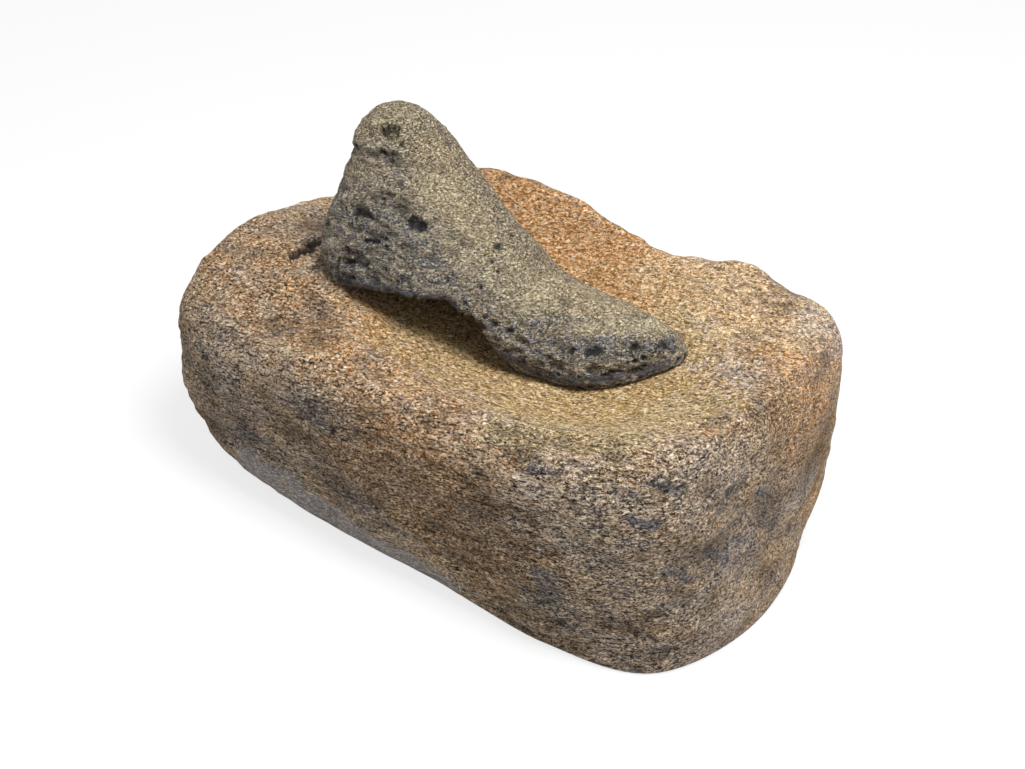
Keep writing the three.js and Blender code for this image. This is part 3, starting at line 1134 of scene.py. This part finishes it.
        angle = np.linspace(0, math.pi / 2, flank, endpoint=False)[:, None, None]
        flank_rings = foot + (belly - foot) * np.sin(angle) ** self.flank_power
        flank_rings[..., 2] = (belly * (1 - np.cos(angle) ** self.flank_power))[..., 2]
        angle = np.linspace(0, math.pi / 2, shoulder, endpoint=False)[:, None, None]
        shoulder_rings = crest + (belly - crest) * np.cos(angle) ** self.flank_power
        shoulder_rings[..., 2] = (belly + (crest - belly) * np.sin(angle) ** self.flank_power)[..., 2]
        share = np.linspace(0, 1, top, endpoint=False)[:, None, None]
        top_rings = crest + (middle - crest) * share
        top_rings[..., 2] = (crest + (middle - crest) * Fade(0, 1).of(share))[..., 2]
        return np.concatenate([flank_rings, shoulder_rings, top_rings])

    def surface(self) -> StoneSurface:
        """Carves the smooth stone: lumps along its normals, the basin, then its roughness, holes and pits.

        Returns:
            The surface, with its tones.
        """
        made = StoneSurface(self.loft(), self.view, True)
        grown = np.clip(made.rings[..., 2] / self.lump_free_height, 0, 1)
        stone = made.rings + made.normals() * (grown * self.lumps.at(made.rings))[..., None]
        dish = self.basin().height(stone[..., 0], stone[..., 1])
        cut = stone[..., 2] - dish
        worn = self.wear.of(cut + self.wear_edge.at(stone))
        stone[..., 2] = soft_min(stone[..., 2], dish, self.rim_rounding)
        made.rings = stone

        lumps = self.grain_lumps.at(stone)
        grain = np.maximum(self.inset - lumps, self.least_inset)
        holes = self.vesicles.depth(stone + self.vesicle_bend * lumps[..., None])
        scars = self.scars.depth(stone + self.scar_bend * lumps[..., None])
        pits = made.pit_depth(self.pits)
        facing, level = made.normals(), self.dish.of(cut)
        made.stain(self.stains)
        tones, bare = made.tones, made.tones[Tone.BARE]
        tones[Tone.WORN] = worn * self.wear_level.of(facing[..., 2])
        # Hollows darken with their depth: dirt, and painted shade where they are deep
        dirt_and_shade = self.hole_dirt_and_shade.of(holes) + self.scar_dirt_and_shade.of(grain + scars)
        dirt_and_shade = dirt_and_shade * (1 - level) + self.pit_dirt_and_shade.of(pits)
        tones[Tone.HOLLOW] = np.clip(dirt_and_shade, 0, self.most_dirt_and_shade) * (1 - bare)
        calm = np.maximum(self.calming[0] * tones[Tone.WORN], self.far_calm.of(stone[..., 1]))
        lively = self.near_flank.of(facing[..., 1]) * self.near_side.of(stone[..., 1])
        tones[Tone.CALM] = (calm - lively) * (1 - bare) + self.calming[1] * bare
        slate, umber = self.veiling
        tones[Tone.VEIL] = np.maximum(slate * tones[Tone.SLATE] ** 2, umber * tones[Tone.UMBER])
        rough = 1 - np.maximum(self.levelling[0] * level, self.levelling[1] * bare)
        made.sink(self.ground.of(stone[..., 2]) * (rough * (grain + scars + holes) + pits))
        return made

    def build(self) -> bpy.types.Object:
        """Makes the base stone's piece.

        Returns:
            The piece, which stands for the solid.
        """
        piece = self.surface().mesh("boulder_with_basin")
        piece.data.materials.append(WeatheredAndesite().material())
        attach(piece, "base")
        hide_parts("metate_base")
        return piece


# The mano

@dataclass(frozen=True)
class Cone:
    """A cone with round ends: its ends in shares of the mano, both radii, and its width over its height."""

    start: Triple
    end: Triple
    radii: Pair
    wider: float = 1


@dataclass(frozen=True)
class BrokenFace:
    """A flat face: a point on it in shares of the mano, its outward direction, and its rounding in widths."""

    at: Triple
    out: Triple
    rounding: float


@dataclass(frozen=True)
class Arch:
    """An ellipsoid cut out under the mano: its middle and half sizes, in shares of the mano."""

    middle: Triple
    half: Triple


@dataclass(frozen=True)
class Mano:
    """The hand stone: cones for leg, shin and sole, run together and cut by faces, arches and the basin."""

    view: PhotoView
    basin: Basin
    # Length, width and height that its shares follow
    size: Triple = (0.238, 0.092, 0.135)
    # The middle of the leg's crown lies its radius below the mano's height.
    leg: Cone = Cone((-0.485, 0.25, 1 - 0.032 / 0.135), (-0.468, 0.152, 0.32), (0.032, 0.052))
    sole: Cone = Cone((-0.27, 0.13, 0.17), (0.318, 0.239, 0.09), (0.040, 0.028), 1.2)
    shin: Cone = Cone((-0.4, 0.27, 0.6), (-0.16, 0.2, 0.33), (0.033, 0.033))
    # Width over which leg and sole run together; the shin joins them over half of it
    instep_rounding: float = 0.034
    faces: tuple[BrokenFace, ...] = (
        BrokenFace(at=(-0.44, -0.315, 0.258), out=(0, -1, 0.28), rounding=0.09),
        BrokenFace(at=(0.332, 0.043, 0.106), out=(0.77, -0.64, -0.1), rounding=0.11),
    )
    arches: tuple[Arch, ...] = (
        Arch(middle=(-0.21, -0.326, 0), half=(0.188, 0.674, 0.26)),
        Arch(middle=(-0.353, -0.348, 0.015), half=(0.235, 0.609, 0.182)),
    )
    # Rounding of the arches' edges, in widths of the mano
    arch_rounding: float = 0.11
    lumps: Lumps = Lumps(44, 1.6, (5, 6))
    # Clearance to the basin, and the rounding of the sole's edge
    rest_gap: float = 0.3 * MM
    sole_rounding: float = 3 * MM
    # Place that the line from crown to toe bends towards, share of the rings at each end whose rays fan
    # out, and share of those whose rays start from the end itself
    bend: Triple = (-0.25, 0.22, 0.22)
    fan: float = 0.2
    gathered: float = 0.12
    # Counts of points along and round, of strides to half the length, of strides before and behind the
    # last one between which the surface is looked for, and of halvings of that stretch
    steps: tuple[int, int] = (330, 300)
    strides: int = 60
    around_last: tuple[int, int] = (3, 2)
    halvings: int = 14
    # Roughness, and how deep its middle lies under the smooth stone
    grain_lumps: Lumps = Lumps(15, 0.8, (13, 14, 16), 0.65, (0.75, 0.9, 1.4))
    inset: float = 0.9 * MM
    # Shallow scars of pecking and open gas bubbles, and how far the roughness bends each, in its heights
    scars: Bowls = Bowls(7.5, (2.5, 6.5), 0.85, 26, 0.34, (0.65, 0.85, 1.5))
    scar_bend: float = 0.6
    vesicles: Bowls = Bowls(5.2, (1, 3), 1.0, 23)
    vesicle_bend: float = 0.4
    # The worn sole by its distance from the basin, the handled top by how much it faces up, and the
    # painted shade of the underside, laid on as slate, by how much it faces down
    sole_wear: Fade = Fade(2.5 * MM, 0.8 * MM)
    handled: Fade = Fade(0.0, 0.8)
    underside_shade: Fade = Fade(0.2, -0.4, 0.7)
    # Dirt and painted shade in hollows, by depth
    hole_dirt_and_shade: Fade = Fade(0.5 * MM, 2.0 * MM)
    scar_dirt_and_shade: Fade = Fade(1.3 * MM, 3 * MM, 0.6)
    # Share of the holes that the handled top lacks, depth of the scars where nothing and where all is
    # handled, and share of the dirt and painted shade that rust hides
    closed_holes: float = 0.8
    scar_depths: Pair = (1.3, 0.4)
    rust_over_dirt_and_shade: float = 0.6
    # How much handled and bare stone calm the grain, how much slate veils it, how much sole and bare
    # stone level the roughness, and the most that dirt and painted shade darken a hollow
    calming: Pair = (0.15, 0.4)
    veiling: float = 0.7
    levelling: Pair = (0.85, 0.7)
    most_dirt_and_shade: float = 0.9
    # Each row is a pit's path in pixels, and its width, height and depth in mm.
    pits: tuple[Pit, ...] = tuple(Pit(*row) for row in (
        ((391, 128), 14, 11, 7), ((403, 143), 4, 4, 2.5), ((378, 154), 7, 6, 2), ((338, 191), 4, 6, 1.5),
        ((410, 223, 418, 227), 10, 9, 2.5), ((362, 240, 374, 242), 5, 4, 1.8), ((382, 248), 2.6, 2.6, 2.5),
        ((352, 214, 366, 217), 8, 5, 1.6), ((345, 262, 360, 266), 8, 5, 1.6), ((498, 243), 6, 4, 3),
        ((491, 258), 3.5, 3, 2), ((498, 268), 3.5, 3, 1.8), ((514, 230), 4, 3, 2), ((531, 244), 5, 3, 2),
        ((478, 287), 2.6, 2.6, 2), ((461, 303), 5, 4, 2), ((491, 324), 7, 5, 2.2), ((506, 330), 7, 4, 2.2),
        ((480, 318), 4, 3, 2), ((567, 350), 7, 5, 2.2), ((586, 353, 594, 353), 9, 8, 2.5),
        ((632, 349), 7, 8, 2.4), ((644, 362), 5, 4, 2.2), ((668, 343), 12, 8, 1.8),
    ))
    # Each row is a stain's path in pixels, its width and height in mm, and its cover.
    stains: tuple[Stain, ...] = (
        *stains_of(
            Tone.SLATE,
            # The slate patches on the leg's lower front darken its undercut, partly as painted shade
            ((350, 235, 385, 250, 430, 285), 110, 84, 0.5), ((380, 245), 80, 56, 0.6),
            ((440, 290, 500, 335, 560, 350), 66, 50, 0.45),
            ((334, 280, 370, 289, 410, 297, 445, 312), 12, 12, 1.0),
            ((488, 362, 540, 377, 590, 383, 640, 377, 668, 366), 12, 11, 0.95),
            ((530, 350, 640, 352), 40, 26, 0.6), ((672, 343), 22, 16, 0.9), ((480, 330), 40, 36, 0.55),
            ((330, 225), 24, 60, 0.5),
        ),
        *stains_of(
            Tone.BARE,
            ((334, 282, 370, 291, 410, 299, 445, 314), 12, 12, 1.0),
            ((488, 364, 540, 379, 590, 386, 640, 380, 668, 369), 12, 10, 1.0),
        ),
        *stains_of(
            Tone.RUST,
            ((392, 130), 16, 13, 0.9),
        ),
        *stains_of(
            Tone.OCHRE,
            ((440, 165, 475, 220), 34, 50, 0.5), ((560, 280, 600, 300), 60, 30, 0.6),
        ),
        *stains_of(
            Tone.PALE,
            ((600, 325, 650, 322), 40, 14, 0.5), ((380, 112), 40, 12, 0.3),
            ((430, 190, 470, 250, 530, 290), 40, 40, 0.4),
        ),
    )

    def place(self, shares: Triple) -> Array:
        """A place on the mano, from shares of its size, counted from the basin's lowest point."""
        return np.array(self.basin.floor) + np.array(shares) * self.size

    def distance(self, points: Array, cone: Cone) -> Array:
        """Distance of points from a cone, below 0 inside.

        That is the distance to the nearest point of the line from start to end, less the radius there, in
        a space that is squeezed across the stone.

        Args:
            points: Points to measure from.
            cone: The cone.

        Returns:
            One distance for each point.
        """
        squeeze = np.array([1, cone.wider, 1])
        start, end = self.place(cone.start), self.place(cone.end)
        reach, away = (end - start) / squeeze, (points - start) / squeeze
        share = np.clip(away @ reach / (reach @ reach), 0, 1)
        first, last = cone.radii
        return np.linalg.norm(away - share[..., None] * reach, axis=-1) - first - share * (last - first)

    def signed_distance(self, points: Array, with_lumps: bool) -> Array:
        """About the distance to the mano's surface, below 0 inside.

        The smaller of the cones' distances, softly blended, is raised to the flat faces', the arches' and
        the basin's where these are larger.

        Args:
            points: Points to measure at.
            with_lumps: False leaves the lumps out, which is quicker.

        Returns:
            One value for each point.
        """
        leg, sole, shin = (self.distance(points, cone) for cone in (self.leg, self.sole, self.shin))
        value = soft_min(soft_min(leg, sole, self.instep_rounding), shin, self.instep_rounding / 2)
        for face in self.faces:
            out = np.array(face.out) / np.linalg.norm(face.out)
            value = soft_max(value, (points - self.place(face.at)) @ out, face.rounding * self.size[1])
        for arch in self.arches:
            half = np.array(arch.half) * self.size
            depth = 1 - np.linalg.norm((points - self.place(arch.middle)) / half, axis=-1)
            value = soft_max(value, depth * half.min(), self.arch_rounding * self.size[1])
        if with_lumps:
            value = value - self.lumps.at(points)
        return soft_max(value, self.rest_gap - self.basin.room(points), self.sole_rounding)

    def rays(self) -> tuple[Array, Array]:
        """Starts and directions of the rays that find the surface.

        They leave a line from crown to toe square to it, and fan out over both of its ends. The line is
        the parabola that sets out from the crown towards the bend and reaches the toe from it.

        Returns:
            The start and the direction of each ray, by ring and step.
        """
        along, around = self.steps
        share = np.arange(1, along) / along
        run = np.clip((share - self.gathered) / (1 - 2 * self.gathered), 0, 1)[:, None]
        crown, bend, toe = (self.place(at) for at in (self.leg.start, self.bend, self.sole.end))
        start = (1 - run) ** 2 * crown + 2 * run * (1 - run) * bend + run**2 * toe
        forward = 2 * (1 - run) * (bend - crown) + 2 * run * (toe - bend)
        forward /= np.linalg.norm(forward, axis=-1, keepdims=True)
        side = np.array([0, 1, 0]) - forward * forward[:, 1:2]
        side /= np.linalg.norm(side, axis=-1, keepdims=True)
        over = np.cross(forward, side)
        fanned = np.maximum(0, 1 - (1 - share) / self.fan) - np.maximum(0, 1 - share / self.fan)
        tilt = (math.pi / 2 * fanned)[:, None, None]
        turn = (np.arange(around) / around * 2 * math.pi)[None, :, None]
        square = side[:, None] * np.cos(turn) + over[:, None] * np.sin(turn)
        direction = square * np.cos(tilt) + forward[:, None] * np.sin(tilt)
        return np.broadcast_to(start[:, None], direction.shape), direction

    def skin(self) -> Array:
        """Where each ray first leaves the mano.

        Each ray strides outwards, without the lumps, until it is outside. Then the stretch round its last
        stride is halved again and again, with them.

        Returns:
            Points by ring and step round it.
        """
        start, direction = self.rays()
        stride = self.size[0] / 2 / self.strides
        reach = np.full(direction.shape[:-1], stride)
        striding = np.ones(reach.shape, bool)
        for _ in range(self.strides):
            places = start[striding] + direction[striding] * reach[striding][:, None]
            striding[striding] = self.signed_distance(places, False) < 0
            reach[striding] += stride
        before, behind = self.around_last
        near, far = reach - before * stride, reach + behind * stride
        for _ in range(self.halvings):
            middle = (near + far) / 2
            within = self.signed_distance(start + direction * middle[..., None], True) < 0
            near, far = np.where(within, middle, near), np.where(within, far, middle)
        return start + direction * ((near + far) / 2)[..., None]

    def surface(self) -> StoneSurface:
        """Roughens the mano and opens its bubbles and pits, less on its worn sole and its handled top.

        Returns:
            The surface, with its tones.
        """
        made = StoneSurface(self.skin(), self.view, False)
        upward = made.normals()[..., 2]
        sole = self.sole_wear.of(self.basin.room(made.rings))
        handled = self.handled.of(upward)
        lumps = self.grain_lumps.at(made.rings)
        grain = np.maximum(self.inset - lumps, 0)
        holes = self.vesicles.depth(made.rings + self.vesicle_bend * lumps[..., None])
        holes *= 1 - self.closed_holes * handled
        scars = self.scars.depth(made.rings + self.scar_bend * lumps[..., None])
        deep, shallow = self.scar_depths
        scars *= deep - (deep - shallow) * handled
        pits = made.pit_depth(self.pits)
        made.stain(self.stains)
        tones, bare = made.tones, made.tones[Tone.BARE]
        # Slate by how much the mano faces down: painted shade on its underside
        tones[Tone.SLATE] = np.maximum(tones[Tone.SLATE], self.underside_shade.of(upward))
        tones[Tone.HANDLED] = handled
        # Hollows darken with their depth: dirt and painted shade
        dirt_and_shade = self.hole_dirt_and_shade.of(holes + pits) + self.scar_dirt_and_shade.of(grain + scars)
        tones[Tone.HOLLOW] = np.clip(dirt_and_shade, 0, self.most_dirt_and_shade) * (1 - self.rust_over_dirt_and_shade * tones[Tone.RUST])
        tones[Tone.CALM] = np.maximum(self.calming[0] * handled, self.calming[1] * bare)
        tones[Tone.VEIL] = self.veiling * tones[Tone.SLATE] ** 2
        rough = 1 - np.maximum(self.levelling[0] * sole, self.levelling[1] * bare)
        made.sink(rough * (grain + scars + holes + pits))
        return made

    def build(self) -> bpy.types.Object:
        """Makes the mano's piece.

        Returns:
            The piece, which stands for the solid.
        """
        piece = self.surface().mesh("boot_shaped_mano")
        piece.data.materials.append(VesicularBasalt().material())
        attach(piece, "hand_stone")
        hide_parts("mano")
        return piece


# Floor and light

@dataclass(frozen=True)
class Studio:
    """Plain pale floor under a soft sky and one broad lamp."""

    # The floor's side, how far it lies under the stone, so that the two share no plane, and its linear
    # colours to the stones and to the camera
    floor_size: float = 8.0
    floor_gap: float = 0.0002
    dull: tuple[float, ...] = (0.8, 0.79, 0.78, 1)
    lit: tuple[float, ...] = (0.97, 0.97, 0.97, 1)
    # Share of plain white that the camera sees in the floor, so that shadows on it stay light
    glow: float = 0.78
    # Strength of the light from all round, and the lamp's side, power in watts, place and aim
    sky: float = 0.40
    lamp_size: float = 0.7
    lamp_power: float = 30.5
    lamp_place: Triple = (0.55, -0.1, 1.5)
    lamp_aim: Triple = (0, 0, 0.1)

    def floor(self) -> None:
        """Makes the floor, white to the camera and dull to the stones, so that it throws little light up."""
        half = self.floor_size / 2
        corners = [(x * half, y * half, -self.floor_gap) for x, y in ((-1, -1), (1, -1), (1, 1), (-1, 1))]
        mesh = bpy.data.meshes.new("floor")
        mesh.from_pydata(corners, [], [(0, 1, 2, 3)])
        made = bpy.data.materials.new("pale_floor")
        add = empty_tree(made)
        path = add("LightPath")
        seen = add("Math", (path["Is Camera Ray"], path["Is Glossy Ray"]), operation="MAXIMUM")[0]
        seen = add("Math", (seen, path["Is Transmission Ray"]), operation="MAXIMUM")[0]
        dull, lit = (add("BsdfDiffuse", {"Color": tone})[0] for tone in (self.dull, self.lit))
        plain = add("Emission", {"Color": "#ffffff", "Strength": 1.0})[0]
        white = add("MixShader", (self.glow, lit, plain))[0]
        add("OutputMaterial", {"Surface": add("MixShader", (seen, dull, white))[0]})
        mesh.materials.append(made)
        piece = add_object("floor", mesh)

    def light(self) -> None:
        """Sets the sky and hangs the lamp, which faces the stones."""
        world = bpy.data.worlds.new("soft_sky")
        add = empty_tree(world)
        strengths = (self.sky, 1.0)
        sky, white = (add("Background", {"Color": "#ffffff", "Strength": much})[0] for much in strengths)
        mixed = add("MixShader", (add("LightPath")["Is Camera Ray"], sky, white))[0]
        add("OutputWorld", {"Surface": mixed})
        bpy.context.scene.world = world
        lamp = bpy.data.lights.new("broad_lamp", "AREA")
        lamp.shape, lamp.size, lamp.energy = "DISK", self.lamp_size, self.lamp_power
        hung = add_object("broad_lamp", lamp)
        hung.location = self.lamp_place
        towards = Vector(self.lamp_aim) - hung.location
        hung.rotation_euler = towards.to_track_quat("-Z", "Y").to_euler()


def main() -> None:
    """Builds the stones, the floor and the light, and logs how many faces each stone's piece has."""
    logging.basicConfig(level=logging.INFO, format="%(name)s: %(message)s")
    view = PhotoView()
    view.shoot()
    boulder = Boulder(view)
    for stone in (boulder, Mano(view, boulder.basin())):
        piece = stone.build()
        LOG.info("%s has %d faces", piece.name, len(piece.data.polygons))
    studio = Studio()
    studio.floor()
    studio.light()
    bpy.context.scene.view_settings.view_transform = "Standard"


if __name__ == "__main__":
    main()
